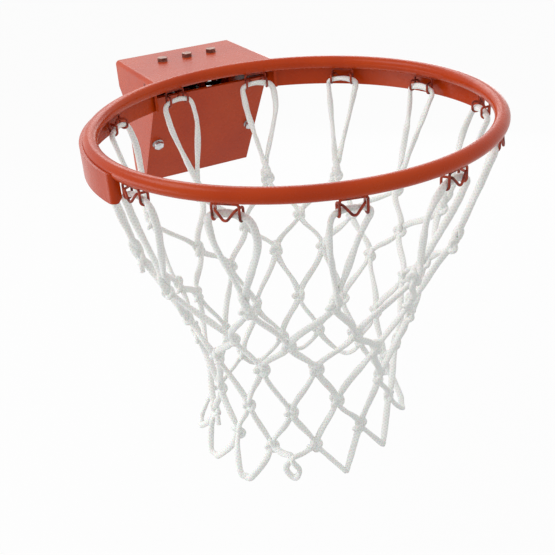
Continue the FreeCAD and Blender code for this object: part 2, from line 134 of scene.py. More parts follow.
def makeOrangeCoat():
    # Semi-gloss polyester powder coat on steel: even colour, soft orange-peel ripple, broad pale sheen
    material, tree, shader = newMaterial("Semi-gloss orange powder coat", IOR=1.28)
    place = addNode(tree, "ShaderNodeTexCoord").outputs["Object"]
    cloud = addNode(tree, "ShaderNodeTexNoise",
                    {"Vector": place, "Scale": perMm(coatLook["cloudMm"]), "Detail": 2.0})
    scuff = addNode(tree, "ShaderNodeTexNoise",
                    {"Vector": place, "Scale": perMm(coatLook["scuffMm"]), "Detail": 6.0, "Roughness": 0.62})
    peel = addNode(tree, "ShaderNodeTexNoise",
                   {"Vector": place, "Scale": perMm(coatLook["peelMm"]), "Detail": 2.0})
    speck = addNode(tree, "ShaderNodeTexNoise",
                    {"Vector": place, "Scale": perMm(coatLook["speckMm"]), "Detail": 2.0})
    tones = [(0.25, paint(coatLook["deep"])), (0.5, paint(coatLook["body"])), (0.8, paint(coatLook["faded"]))]
    tone = ramp(tree, cloud.outputs["Fac"], tones)

    # worn edges are where the rounded normal turns away from the flat one
    rounded = addNode(tree, "ShaderNodeBevel", {"Radius": metres(coatLook["edgeMm"])}, samples=4)
    flat = addNode(tree, "ShaderNodeNewGeometry").outputs["Normal"]
    agree = addNode(tree, "ShaderNodeVectorMath", {0: rounded.outputs["Normal"], 1: flat},
                    operation="DOT_PRODUCT")
    edge = addNode(tree, "ShaderNodeMapRange",
                   {"Value": agree.outputs["Value"], "From Min": 0.985, "From Max": 0.90,
                    "To Min": 0.0, "To Max": coatLook["edgeWear"]})
    edgeWear = addNode(tree, "ShaderNodeMath", {0: edge.outputs[0], 1: scuff.outputs["Fac"]},
                       operation="MULTIPLY")
    colour = addNode(tree, "ShaderNodeMix",
                     {"Factor": edgeWear.outputs[0], "A": tone, "B": paint(coatLook["edge"])},
                     data_type="RGBA")
    dust = addNode(tree, "ShaderNodeMapRange",
                   {"Value": speck.outputs["Fac"], "From Min": 0.72, "From Max": 0.8,
                    "To Min": 0.0, "To Max": coatLook["dustiness"]})
    dusty = addNode(tree, "ShaderNodeMix",
                    {"Factor": dust.outputs[0], "A": colour.outputs["Result"], "B": paint(coatLook["dust"])},
                    data_type="RGBA")
    tree.links.new(dusty.outputs["Result"], shader.inputs["Base Color"])

    gloss = addNode(tree, "ShaderNodeMapRange",
                    {"Value": scuff.outputs["Fac"], "From Min": 0.3, "From Max": 0.75,
                     "To Min": coatLook["glossy"], "To Max": coatLook["scuffed"]})
    tree.links.new(gloss.outputs[0], shader.inputs["Roughness"])
    ripple = addNode(tree, "ShaderNodeMath", {0: peel.outputs["Fac"], 1: speck.outputs["Fac"], 2: 0.12},
                     operation="MULTIPLY_ADD")
    bump = addNode(tree, "ShaderNodeBump",
                   {"Height": ripple.outputs[0], "Strength": 0.16, "Distance": 0.0003,
                    "Normal": rounded.outputs["Normal"]})
    tree.links.new(bump.outputs["Normal"], shader.inputs["Normal"])
    return material


# the wire's colours sit below the bar's orange: painted shade of the thin hook wires, with rubbed patches on
# top
shadeDarkenedWireLook = {
    "body": "942e14",
    "worn": "ab401e",
    "bare": "641d0c",
    "grainMm": 1.6,
    "patchMm": 9.0,
    "smooth": 0.32,            # roughness, and what it rises to in the grain
    "grainy": 0.6,
}


def makeShadeDarkenedWireCoat():
    # Thin dipped coat on bent wire, rubbed in patches, dull and grainy; its colour is darker than the bar's
    # as painted shade of the thin hook wires
    material, tree, shader = newMaterial("Thin coat on steel wire, darkened as painted shade", IOR=1.4)
    place = addNode(tree, "ShaderNodeTexCoord").outputs["Object"]
    grain = addNode(tree, "ShaderNodeTexNoise",
                    {"Vector": place, "Scale": perMm(shadeDarkenedWireLook["grainMm"]), "Detail": 5.0})
    patch = addNode(tree, "ShaderNodeTexNoise",
                    {"Vector": place, "Scale": perMm(shadeDarkenedWireLook["patchMm"]), "Detail": 2.0})
    tones = [(0.35, paint(shadeDarkenedWireLook["bare"])), (0.5, paint(shadeDarkenedWireLook["body"])), (0.7, paint(shadeDarkenedWireLook["worn"]))]
    tree.links.new(ramp(tree, patch.outputs["Fac"], tones), shader.inputs["Base Color"])
    rough = addNode(tree, "ShaderNodeMapRange",
                    {"Value": grain.outputs["Fac"],
                     "To Min": shadeDarkenedWireLook["smooth"], "To Max": shadeDarkenedWireLook["grainy"]})
    tree.links.new(rough.outputs[0], shader.inputs["Roughness"])
    bump = addNode(tree, "ShaderNodeBump",
                   {"Height": grain.outputs["Fac"], "Strength": 0.35, "Distance": 0.0002})
    tree.links.new(bump.outputs["Normal"], shader.inputs["Normal"])
    return material


plateLook = {
    "hazeMm": 5.0,
    "edgeMm": 0.3,
    "smooth": 0.75,            # roughness, as shares of the finish's own, from its clearest to its dullest
    "dull": 1.5,
}


def makePlatedSteel(name, light, dark, roughness, crystalMm):
    # Plated or oiled steel: bright metal, faint crystal mottling, a duller haze in patches
    material, tree, shader = newMaterial(name, Metallic=1.0)
    place = addNode(tree, "ShaderNodeTexCoord").outputs["Object"]
    mottle = addNode(tree, "ShaderNodeTexVoronoi", {"Vector": place, "Scale": perMm(crystalMm)})
    haze = addNode(tree, "ShaderNodeTexNoise",
                   {"Vector": place, "Scale": perMm(plateLook["hazeMm"]), "Detail": 5.0})
    blended = addNode(tree, "ShaderNodeMath",
                      {0: haze.outputs["Fac"], 1: mottle.outputs["Distance"], 2: 0.25},
                      operation="MULTIPLY_ADD")
    tones = [(0.3, paint(dark)), (0.65, paint(light))]
    tree.links.new(ramp(tree, haze.outputs["Fac"], tones), shader.inputs["Base Color"])
    rough = addNode(tree, "ShaderNodeMapRange",
                    {"Value": blended.outputs[0], "From Min": 0.2, "From Max": 0.9,
                     "To Min": roughness * plateLook["smooth"], "To Max": roughness * plateLook["dull"]})
    tree.links.new(rough.outputs[0], shader.inputs["Roughness"])
    rounded = addNode(tree, "ShaderNodeBevel", {"Radius": metres(plateLook["edgeMm"])}, samples=4)
    bump = addNode(tree, "ShaderNodeBump",
                   {"Height": blended.outputs[0], "Strength": 0.2, "Distance": 0.0001,
                    "Normal": rounded.outputs["Normal"]})
    tree.links.new(bump.outputs["Normal"], shader.inputs["Normal"])
    return material


rubberLook = {"black": "161616", "dusty": "3a3836", "pitMm": 0.9, "dustMm": 8.0}


def makeRubber():
    # Moulded black rubber: matt, fine pitted skin, greyer where dust sits
    material, tree, shader = newMaterial("Moulded black rubber", Roughness=0.7, IOR=1.52)
    place = addNode(tree, "ShaderNodeTexCoord").outputs["Object"]
    pits = addNode(tree, "ShaderNodeTexNoise",
                   {"Vector": place, "Scale": perMm(rubberLook["pitMm"]), "Detail": 4.0})
    dust = addNode(tree, "ShaderNodeTexNoise",
                   {"Vector": place, "Scale": perMm(rubberLook["dustMm"]), "Detail": 3.0})
    tones = [(0.35, paint(rubberLook["black"])), (0.75, paint(rubberLook["dusty"]))]
    tree.links.new(ramp(tree, dust.outputs["Fac"], tones), shader.inputs["Base Color"])
    bump = addNode(tree, "ShaderNodeBump",
                   {"Height": pits.outputs["Fac"], "Strength": 0.4, "Distance": 0.0002})
    tree.links.new(bump.outputs["Normal"], shader.inputs["Normal"])
    return material


ropeLook = {
    "fibre": "f1f2ef",
    "shade": "e2e4e0",         # painted shade in the grooves between the plaits
    "soil": "deded8",
    "plaitMm": 4.2,            # length of one plait along the rope
    "plaits": 4,               # plaits round the rope, drawn a little coarse so that they show
    "fibreMm": 0.9,
    "soilMm": 30.0,
}


def makeRope():
    # Braided polyester cord: white, soft sheen, crossing plaits with painted shade in the grooves between
    # them, and loose fibres
    material, tree, shader = newMaterial("Braided white polyester rope", Roughness=0.82, IOR=1.46,
                                         Sheen_Weight=0.35, Sheen_Roughness=0.5, Subsurface_Weight=0.12,
                                         Subsurface_Scale=0.002)
    lay = addNode(tree, "ShaderNodeAttribute", attribute_name="ropeLay")
    axes = addNode(tree, "ShaderNodeSeparateXYZ", {"Vector": lay.outputs["Vector"]})
    turn = addNode(tree, "ShaderNodeMath", {0: axes.outputs["Y"], 1: axes.outputs["X"]}, operation="ARCTAN2")
    along = addNode(tree, "ShaderNodeMath",
                    {0: axes.outputs["Z"], 1: 2 * math.pi * perMm(ropeLook["plaitMm"])}, operation="MULTIPLY")
    waves = []
    for sign in (1, -1):
        phase = addNode(tree, "ShaderNodeMath",
                        {0: turn.outputs[0], 1: sign * ropeLook["plaits"], 2: along.outputs[0]},
                        operation="MULTIPLY_ADD")
        waves.append(addNode(tree, "ShaderNodeMath", {0: phase.outputs[0]}, operation="SINE").outputs[0])
    plait = addNode(tree, "ShaderNodeMath", {0: waves[0], 1: waves[1]}, operation="MAXIMUM")
    plaitHeightAndShade = addNode(tree, "ShaderNodeMapRange", {"Value": plait.outputs[0], "From Min": -0.2, "From Max": 0.7})
    # the colour darkens between the plaits as painted shade; the same mask also gives the plaits their bump
    # height
    tone = addNode(tree, "ShaderNodeMix",
                   {"Factor": plaitHeightAndShade.outputs[0], "A": paint(ropeLook["shade"]), "B": paint(ropeLook["fibre"])},
                   data_type="RGBA")

    place = addNode(tree, "ShaderNodeTexCoord").outputs["Object"]
    fibre = addNode(tree, "ShaderNodeTexNoise",
                    {"Vector": place, "Scale": perMm(ropeLook["fibreMm"]), "Detail": 4.0})
    soil = addNode(tree, "ShaderNodeTexNoise",
                   {"Vector": place, "Scale": perMm(ropeLook["soilMm"]), "Detail": 3.0})
    soiled = addNode(tree, "ShaderNodeMapRange",
                     {"Value": soil.outputs["Fac"], "From Min": 0.5, "From Max": 0.8, "To Max": 0.5})
    colour = addNode(tree, "ShaderNodeMix",
                     {"Factor": soiled.outputs[0], "A": tone.outputs["Result"], "B": paint(ropeLook["soil"])},
                     data_type="RGBA")
    tree.links.new(colour.outputs["Result"], shader.inputs["Base Color"])
    height = addNode(tree, "ShaderNodeMath", {0: fibre.outputs["Fac"], 1: 0.5, 2: plaitHeightAndShade.outputs[0]},
                     operation="MULTIPLY_ADD")
    bump = addNode(tree, "ShaderNodeBump",
                   {"Height": height.outputs[0], "Strength": 0.28, "Distance": 0.0004})
    tree.links.new(bump.outputs["Normal"], shader.inputs["Normal"])
    return material


finishes = {
    "orange_coat": makeOrangeCoat(),
    "dark_red_coat": makeShadeDarkenedWireCoat(),
    "zinc_plate": makePlatedSteel("Bright zinc plate on steel", "d9dadb", "a9aaac", 0.3, 1.2),
    "bronzed_steel": makePlatedSteel("Yellow passivated steel", "a07c70", "5c3f36", 0.36, 1.0),
    "spring_steel": makePlatedSteel("Oiled spring steel", "2e2e30", "161617", 0.42, 0.8),
    "buffer_rubber": makeRubber(),
    "net_rope": makeRope(),
}
for part in frame["record"]["subparts"]:
    mesh = nodes[part["node"]].data
    mesh.materials.clear()
    mesh.materials.append(finishes[part["material_slot"]])
print("stage 2: finishes made")


def pathObject(name, paths):
    # one curve object, with a poly spline for each list of points
    curve = bpy.data.curves.new(name, "CURVE")
    curve.dimensions = "3D"
    for points, closed in paths:
        spline = curve.splines.new("POLY")
        spline.points.add(len(points) - 1)
        for target, point in zip(spline.points, points):
            target.co = (*point, 1.0)
        spline.use_cyclic_u = closed
    made = bpy.data.objects.new(name, curve)
    bpy.context.scene.collection.objects.link(made)
    return made


def bakeTree(source, tree, values, name):
    # runs a node tree on an object and keeps the result as a plain mesh
    modifier = source.modifiers.new(tree.name, "NODES")
    modifier.node_group = tree
    for item in tree.interface.items_tree:
        if item.item_type == "SOCKET" and item.in_out == "INPUT" and item.name in values:
            modifier[item.identifier] = values[item.name]
    bpy.context.view_layer.update()
    graph = bpy.context.evaluated_depsgraph_get()
    mesh = bpy.data.meshes.new_from_object(source.evaluated_get(graph))
    mesh.name = name
    source.modifiers.remove(modifier)
    bpy.data.objects.remove(source)
    piece = bpy.data.objects.new(name, mesh)
    bpy.context.scene.collection.objects.link(piece)
    return piece


def newTree(name, inputs):
    tree = bpy.data.node_groups.new(name, "GeometryNodeTree")
    tree.interface.new_socket("Geometry", in_out="INPUT", socket_type="NodeSocketGeometry")
    for label, kind, value in inputs:
        socket = tree.interface.new_socket(label, in_out="INPUT", socket_type="NodeSocket" + kind)
        socket.default_value = value
    tree.interface.new_socket("Geometry", in_out="OUTPUT", socket_type="NodeSocketGeometry")
    return tree, addNode(tree, "NodeGroupInput").outputs


def endTree(tree, geometry, material):
    whole = addNode(tree, "GeometryNodeRealizeInstances", {"Geometry": geometry})
    smooth = addNode(tree, "GeometryNodeSetShadeSmooth", {"Geometry": whole.outputs[0]})
    finished = addNode(tree, "GeometryNodeSetMaterial", {"Geometry": smooth.outputs[0], "Material": material})
    addNode(tree, "NodeGroupOutput", {"Geometry": finished.outputs[0]})
    return tree


ropeShape = {"wanderMm": 55.0, "lumpMm": 7.0}     # how slowly the rope rolls over, and how long its lumps are


def makeRopeTree():
    # sweeps an oval, slightly lumpy section along every path, and stores how the braid lies
    tree, sizes = newTree("Braided rope", [
        ("Width", "Float", 0.006), ("Thickness", "Float", 0.005), ("Step", "Float", 0.002),
        ("Sides", "Int", 12), ("Lumps", "Float", 0.1), ("Roll", "Float", 1.5)])
    path = addNode(tree, "GeometryNodeResampleCurve", {"Curve": sizes["Geometry"], "Length": sizes["Step"]},
                   mode="LENGTH")
    distance = addNode(tree, "GeometryNodeSplineParameter").outputs["Length"]
    place = addNode(tree, "GeometryNodeInputPosition").outputs[0]
    wander = addNode(tree, "ShaderNodeTexNoise",
                     {"Vector": place, "Scale": perMm(ropeShape["wanderMm"]), "Detail": 0.0})
    roll = addNode(tree, "ShaderNodeMath", {0: wander.outputs["Fac"], 1: sizes["Roll"]}, operation="MULTIPLY")
    rolled = addNode(tree, "GeometryNodeSetCurveTilt", {"Curve": path.outputs[0], "Tilt": roll.outputs[0]})
    lump = addNode(tree, "ShaderNodeTexNoise",
                   {"Vector": place, "Scale": perMm(ropeShape["lumpMm"]), "Detail": 1.0})
    centred = addNode(tree, "ShaderNodeMath", {0: lump.outputs["Fac"], 1: 0.5}, operation="SUBTRACT")
    swell = addNode(tree, "ShaderNodeMath", {0: centred.outputs[0], 1: sizes["Lumps"], 2: 1.0},
                    operation="MULTIPLY_ADD")
    sized = addNode(tree, "GeometryNodeSetCurveRadius",
                    {"Curve": rolled.outputs[0], "Radius": swell.outputs[0]})
    alongPath = addNode(tree, "GeometryNodeCaptureAttribute", {"Geometry": sized.outputs[0]})
    alongPath.capture_items.new("FLOAT", "along")
    tree.links.new(distance, alongPath.inputs[1])

    circle = addNode(tree, "GeometryNodeCurvePrimitiveCircle", {"Resolution": sizes["Sides"], "Radius": 0.5})
    aroundPath = addNode(tree, "GeometryNodeCaptureAttribute", {"Geometry": circle.outputs["Curve"]})
    aroundPath.capture_items.new("VECTOR", "around")
    tree.links.new(addNode(tree, "GeometryNodeInputPosition").outputs[0], aroundPath.inputs[1])
    oval = addNode(tree, "ShaderNodeCombineXYZ", {"X": sizes["Width"], "Y": sizes["Thickness"], "Z": 1.0})
    section = addNode(tree, "GeometryNodeTransform",
                      {"Geometry": aroundPath.outputs["Geometry"], "Scale": oval.outputs[0]})
    tube = addNode(tree, "GeometryNodeCurveToMesh",
                   {"Curve": alongPath.outputs["Geometry"], "Profile Curve": section.outputs[0],
                    "Fill Caps": True})
    if "Scale" in tube.inputs:
        swollen = addNode(tree, "GeometryNodeInputRadius")
        tree.links.new(swollen.outputs[0], tube.inputs["Scale"])

    around = addNode(tree, "ShaderNodeSeparateXYZ", {"Vector": aroundPath.outputs[1]})
    lay = addNode(tree, "ShaderNodeCombineXYZ",
                  {"X": around.outputs["X"], "Y": around.outputs["Y"], "Z": alongPath.outputs[1]})
    stored = addNode(tree, "GeometryNodeStoreNamedAttribute",
                     {"Geometry": tube.outputs[0], "Name": "ropeLay", "Value": lay.outputs[0]},
                     data_type="FLOAT_VECTOR", domain="POINT")
    return endTree(tree, stored.outputs[0], finishes["net_rope"])


# the ring's centre at the bar's height, and the circle that the bar's middle runs on
ring = {"centre": Vector((0.0, -0.376, 0.1)), "barMm": 17.0, "radiusMm": 233.5}
hooks = {
    "count": 12,
    "wingShift": 1.4,          # the two hooks beside the wings' ends stand clear of them by these degrees
    "shifted": {3: 1, 8: -1},  # which two they are, and which way round they are shifted
}
spacing = 360 // hooks["count"]                   # degrees from one hook to the next
hookAngles = [spacing * (k + 0.5) for k in range(hooks["count"])]
for k, way in hooks["shifted"].items():
    hookAngles[k] += way * hooks["wingShift"]

net = {
    # each row's radius and its drop below the ring's centre; the last row is the tips of the bottom loops
    "rowsMm": ((188.0, 143.0), (155.0, 196.0), (140.0, 238.0),
               (121.0, 305.0), (115.0, 357.0), (131.0, 396.0)),
    "leanX": -0.082,           # the net hangs aside by these shares of its drop
    "leanY": -0.047,
    "sagMm": 11.0,             # below the first row one side hangs lower by this, and the other higher
    "sagTowards": 245,
    "slumpMm": 8.0,            # and lies over to another side by this much
    "slumpTowards": 85,
    "ovalTurn": 3.5,           # degrees that knots shift round, closer together at 45 and 225 degrees
    "strayMm": 3.0,            # hand-tied knots lie this far off at most, outward and downward
    "strayTurn": 1.5,
    "seed": 22,
    "looseSeed": 4,            # for how each run, loop and knot lies
}
tipRow = len(net["rowsMm"])
lowestKnots = tipRow - 1
down = Vector((0, 0, -1))
loose = random.Random(net["looseSeed"])


def outward(angle):
    # angles are in degrees, from the wall side and to the right
    turn = math.radians(angle)
    return Vector((math.sin(turn), math.cos(turn), 0.0))


def sideways(angle):
    turn = math.radians(angle)
    return Vector((math.cos(turn), -math.sin(turn), 0.0))


def hangPoint(radiusMm, angle, dropMm):
    lean = Vector((net["leanX"] * dropMm, net["leanY"] * dropMm, -dropMm))
    return ring["centre"] + metres(outward(angle) * radiusMm + lean)


def wave(size, degrees):
    return size * math.cos(math.radians(degrees))


def knotAngle(row, k):
    # every other row stands half a step round
    return spacing * k + (spacing // 2 if row % 2 else 0)


def placeKnots():
    uneven = random.Random(net["seed"])
    placed = {}
    for row, (radius, drop) in enumerate(net["rowsMm"], start=1):
        slack = 0 if row == 1 else 1
        for k in range(hooks["count"]):
            angle = knotAngle(row, k)
            turn = uneven.uniform(-net["strayTurn"], net["strayTurn"])
            turn += slack * wave(net["ovalTurn"], 2 * angle)
            out = uneven.uniform(-net["strayMm"], net["strayMm"])
            out += slack * wave(net["slumpMm"], angle - net["slumpTowards"])
            fall = uneven.uniform(-net["strayMm"], net["strayMm"])
            fall += slack * wave(net["sagMm"], angle - net["sagTowards"])
            placed[row, angle] = hangPoint(radius + out, angle + turn, drop + fall)
    return placed


def easedRun(start, leave, arrive, end, count=14):
    # a cubic from start to end, with its two handles at leave and arrive
    points = []
    for i in range(count + 1):
        t = i / count
        s = 1 - t
        points.append(start * s ** 3 + leave * (3 * s * s * t) + arrive * (3 * s * t * t) + end * t ** 3)
    return points


def throughPoints(points, count=6):
    # a soft line through points; each handle is a sixth of the way between the neighbours
    line = []
    for i in range(len(points) - 1):
        before = points[max(i - 1, 0)]
        a, b = points[i], points[i + 1]
        after = points[min(i + 2, len(points) - 1)]
        line += easedRun(a, a + (b - before) / 6, b - (after - a) / 6, b, count)[:-1]
    return line + [points[-1]]


knots = placeKnots()

topLoop = {
    "cradleOutMm": 228.5,      # where the rope lies in a hook, from the ring's axis and below its centre
    "cradleDropMm": 23.4,
    "reachMm": 19.0,           # from the hook's middle to where a leg turns down
    "seatMm": 14.0,            # and to where the rope lies flat
    "archMm": 2.2,             # the rope springs up between the two seats
    "shoulderMm": 5.0,         # a leg hangs straight this far below the hook
    "leftBowMm": (2.0, 6.0),   # how far the legs swing out, at least and at most
    "rightBowMm": (6.0, 10.0),
    "setBowsMm": {1: (0.0, 1.0), 2: (-3.0, 0.0), 5: (9.0, 6.0), 6: (4.0, -2.0)},     # left and right
    "bellyAt": 0.4,            # the widest place, as a share of the way down a leg
    "hipAt": 0.35,             # a place above it, as a share of the way to the belly
    "shoulderBow": 0.35,       # shares of the bow at the shoulder and the hip
    "hipBow": 0.3,
    "twistMm": 30.0,           # above each top knot the two legs twist half a turn
    "twistSteps": 4,
    "twistOff": 0.4,           # radians that the twist is off at the knot, at most
    "twistSpreadMm": 3.4,      # from the twist's middle to each leg
    "knotSpreadMm": 2.2,
    "tuckMm": 2.0,             # the legs start inside their knot
}


def legBow(k, towardsRight):
    # a leg's bow is drawn even where a set one takes its place, so that the others keep theirs
    bow = loose.uniform(*topLoop["rightBowMm" if towardsRight else "leftBowMm"])
    if k in topLoop["setBowsMm"]:
        bow = topLoop["setBowsMm"][k][towardsRight]
    return metres(bow)


def twistedFoot(knot, rise, side, front, sign, off):
    # from its knot upwards, a leg winds half a turn round the other one
    points = []
    for step in range(topLoop["twistSteps"] + 1):
        share = step / topLoop["twistSteps"]
        turn = math.pi * (share - 1) + off * (1 - share)
        spread = topLoop["twistSpreadMm" if step else "knotSpreadMm"]
        across = side * math.cos(turn) + front * math.sin(turn)
        height = topLoop["twistMm"] * share - topLoop["tuckMm"]
        points.append(knot + metres(rise * height + across * sign * spread))
    return points


def hookLoops():
    # each top loop lies across the two seats of its hook; its legs fall, twist and meet in one knot
    paths = []
    for k, angle in enumerate(hookAngles):
        knot = knots[1, knotAngle(1, k)]
        side = sideways(angle)
        fromCentre = outward(angle) * topLoop["cradleOutMm"] + down * topLoop["cradleDropMm"]
        cradle = ring["centre"] + metres(fromCentre)
        rise = (cradle - knot).normalized()
        front = side.cross(rise).normalized()
        off = loose.uniform(-topLoop["twistOff"], topLoop["twistOff"])
        legs = []
        for sign in (-1, 1):
            out = side * sign
            bow = legBow(k, out.x > 0)
            foot = twistedFoot(knot, rise, side, front, sign, off)
            top = cradle + out * metres(topLoop["reachMm"])
            shoulder = top + down * metres(topLoop["shoulderMm"]) + out * bow * topLoop["shoulderBow"]
            belly = shoulder.lerp(foot[-1], topLoop["bellyAt"]) + out * bow
            hip = shoulder.lerp(belly, topLoop["hipAt"]) + out * bow * topLoop["hipBow"]
            legs.append(foot + [belly, hip, shoulder])
        seats = [cradle + side * sign * metres(topLoop["seatMm"]) for sign in (-1, 1)]
        middle = cradle - down * metres(topLoop["archMm"])
        paths.append((throughPoints(legs[0] + [seats[0], middle, seats[1]] + legs[1][::-1]), False))
    return paths


meshRun = {
    "straight": (0.28, 0.42),  # shares of a run's length that its handles take, along its knots' fall
    "asideMm": 4.0,            # a run leaves its knot on its own side
    "bulgeMm": (-2.0, 3.0),
}


def meshRuns():
    # from each knot two runs go down, to the knots on its left and right in the next row
    paths = []
    half = spacing // 2
    for row in range(1, lowestKnots):
        for k in range(hooks["count"]):
            angle = knotAngle(row, k)
            start = knots[row, angle]
            below = (knots[row + 1, (angle + half) % 360] + knots[row + 1, (angle - half) % 360]) / 2
            fall = (below - start).normalized()
            for step in (-half, half):
                end = knots[row + 1, (angle + step) % 360]
                length = (end - start).length
                aside = sideways(angle + step / 2) * math.copysign(metres(meshRun["asideMm"]), step)
                leave = start + fall * length * loose.uniform(*meshRun["straight"]) + aside
                arrive = end - fall * length * loose.uniform(*meshRun["straight"]) - aside
                bulge = outward(angle + step / 2) * metres(loose.uniform(*meshRun["bulgeMm"]))
                paths.append((easedRun(start, leave + bulge, arrive + bulge, end), False))
    return paths


bottomLoop = {
    "pointed": {150: 2.0, 180: -6.0},   # loops drawn to a point, and the millimetres to one side
    "pointedAt": (0.55, 0.9),           # places along their straight sides
    "pinched": 210,                     # this loop's sides meet, one before the other, above a small eye
    "eyeMm": 30.0,                      # from its tip up to where they meet
    "eyeWideMm": 8.5,                   # half its width, at its widest
    "eyeWideAtMm": 13.0,
    "eyeShiftMm": 1.0,
    "lapMm": 2.6,                       # one side lies this far out and the other this far in
    "dipMm": 2.0,
    "drawn": (0.5, 0.66),               # the others hang round, drawn in by these shares
    "belly": 0.75,
    "bellyAt": 0.45,
    "tipWide": 0.34,                    # a round tip's half width, as a share of the knots' distance
    "tipRoundMm": 3.0,                  # and its rise at that width
}


def pointedHalf(knot, foot):
    return [knot] + [knot.lerp(foot, share) for share in bottomLoop["pointedAt"]]


def pinchedHalf(knot, tip, side, lap):
    # from the knot past the meeting place to one side of the eye; the other half mirrors side and lap
    cross = tip - down * metres(bottomLoop["eyeMm"])
    widest = tip + side * metres(bottomLoop["eyeWideMm"]) - down * metres(bottomLoop["eyeWideAtMm"])
    return [knot, knot.lerp(cross, 0.5) + down * metres(bottomLoop["dipMm"]), cross + lap, widest + lap]


def roundHalf(knot, tip, middle, drawn):
    out = knot - middle
    belly = knot.lerp(tip, bottomLoop["bellyAt"]) + out * (1 - drawn) * bottomLoop["belly"]
    return [knot, belly, tip + out * bottomLoop["tipWide"] - down * metres(bottomLoop["tipRoundMm"])]


def bottomLoops():
    paths = []
    for k in range(hooks["count"]):
        angle = knotAngle(lowestKnots, k)
        first = knots[lowestKnots, angle]
        last = knots[lowestKnots, (angle + spacing) % 360]
        tipAngle = (angle + spacing // 2) % 360
        tip = knots[tipRow, tipAngle]
        side = sideways(tipAngle)
        if tipAngle == bottomLoop["pinched"]:
            lap = outward(tipAngle) * metres(bottomLoop["lapMm"])
            foot = tip - side * metres(bottomLoop["eyeShiftMm"])
            halves = pinchedHalf(first, tip, -side, lap), pinchedHalf(last, tip, side, -lap)
        elif tipAngle in bottomLoop["pointed"]:
            foot = tip + side * metres(bottomLoop["pointed"][tipAngle])
            halves = pointedHalf(first, foot), pointedHalf(last, foot)
        else:
            foot = tip
            middle = (first + last) / 2
            drawn = loose.uniform(*bottomLoop["drawn"])
            halves = roundHalf(first, tip, middle, drawn), roundHalf(last, tip, middle, drawn)
        paths.append((throughPoints(halves[0] + [foot] + halves[1][::-1]), False))
    return paths


knotWrap = {
    "wideMm": (1.90, 2.40),    # size of the three lobes, across the rope and along it
    "tallMm": (2.40, 3.00),
    "topRowTaller": 1.15,
    "lean": 0.5,               # radians, at most
    "tipIn": 0.15,             # a knot's foot tips towards the net's axis
    "overUnderMm": 2.8,
    "steps": 30,
    # knots with a cut tail, and whether it lies to the right or to the left
    "tails": {(1, 285): -1, (1, 135): 1, (3, 135): 1, (3, 285): -1, (5, 285): -1},
    "tailMm": ((6.0, 2.0), (11.0, 7.0), (13.0, 14.0)),     # its places, aside and down
}


def knotWraps():
    # each knot is an overhand knot drawn tight: three lobes that pass over and under; a few have cut tails
    paths = []
    for (row, angle), centre in knots.items():
        if row == tipRow:
            continue
        axis = (down + outward(angle) * -knotWrap["tipIn"]).normalized()
        side = sideways(angle)
        out = side.cross(axis)
        wide = loose.uniform(*knotWrap["wideMm"])
        tall = loose.uniform(*knotWrap["tallMm"]) * (knotWrap["topRowTaller"] if row == 1 else 1.0)
        lean = loose.uniform(-knotWrap["lean"], knotWrap["lean"])
        points = []
        for i in range(knotWrap["steps"]):
            turn = 2 * math.pi * i / knotWrap["steps"]
            x = (math.sin(turn) + 2 * math.sin(2 * turn)) * wide
            y = (math.cos(turn) - 2 * math.cos(2 * turn)) * tall
            z = math.sin(3 * turn) * knotWrap["overUnderMm"]
            x, y = x * math.cos(lean) - y * math.sin(lean), x * math.sin(lean) + y * math.cos(lean)
            points.append(centre + metres(side * x + axis * y + out * z))
        paths.append((points, True))
        if (row, angle) in knotWrap["tails"]:
            away = side * math.copysign(1, side.x) * knotWrap["tails"][row, angle]
            tail = [centre + metres(away * aside + down * fall) for aside, fall in knotWrap["tailMm"]]
            paths.append((throughPoints([centre] + tail), False))
    return paths


# in metres, as the tree's inputs are
ropeSizes = {"Width": 0.0084, "Thickness": 0.0060, "Step": 0.0025, "Sides": 14, "Lumps": 0.2, "Roll": 6.0}
knotSizes = {"Width": 0.0080, "Thickness": 0.0062, "Step": 0.0016, "Sides": 12, "Lumps": 0.25, "Roll": 3.0}
netPieces = (
    ("netLoops", hookLoops(), ropeSizes),
    ("netRuns", meshRuns() + bottomLoops(), ropeSizes),
    ("netKnots", knotWraps(), knotSizes),
)
ropeTree = makeRopeTree()
for pieceName, paths, sizes in netPieces:
    piece = bakeTree(pathObject(pieceName, paths), ropeTree, sizes, pieceName)
    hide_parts("net")
    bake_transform(piece)
    print("  ", pieceName, len(piece.data.polygons), "faces")
print("stage 3: net knotted")


coil = {
    "wireMm": 5.0,
    "sides": 12,
    "radiusMm": 10.5,
    "turns": 8,
    "lengthMm": 80.0,
    "footMm": -3.0,            # the foot's height from the wall holes' middle
    "yMm": -54.5,
    "xsMm": (-37.5, 0.0, 37.5),
    "startTurns": (0.2, 0.0, 0.28),     # each spring stands turned about its own axis
    "stepsPerTurn": 28,
    "closedRise": 0.95,        # the closed end turns rise by this share of the wire
}


def coilPath(x, startTurn):
    # the first and last turn lie closed against their neighbours, as on a ground spring
    steps = coil["turns"] * coil["stepsPerTurn"]
    openTurns = coil["turns"] - 2              # all but the first and last
    closedPitch = coil["wireMm"] * coil["closedRise"]
    openPitch = (coil["lengthMm"] - coil["wireMm"] - 2 * closedPitch) / openTurns
    points = []
    for i in range(steps + 1):
        turns = i / coil["stepsPerTurn"]
        closed = min(turns, 1) + max(turns - 1 - openTurns, 0)
        height = closed * closedPitch + min(max(turns - 1, 0), openTurns) * openPitch
        turn = 2 * math.pi * (turns + startTurn)
        points.append(metres(Vector((
            x + coil["radiusMm"] * math.cos(turn),
            coil["yMm"] + coil["radiusMm"] * math.sin(turn),
            coil["footMm"] + coil["wireMm"] / 2 + height))))
    return points


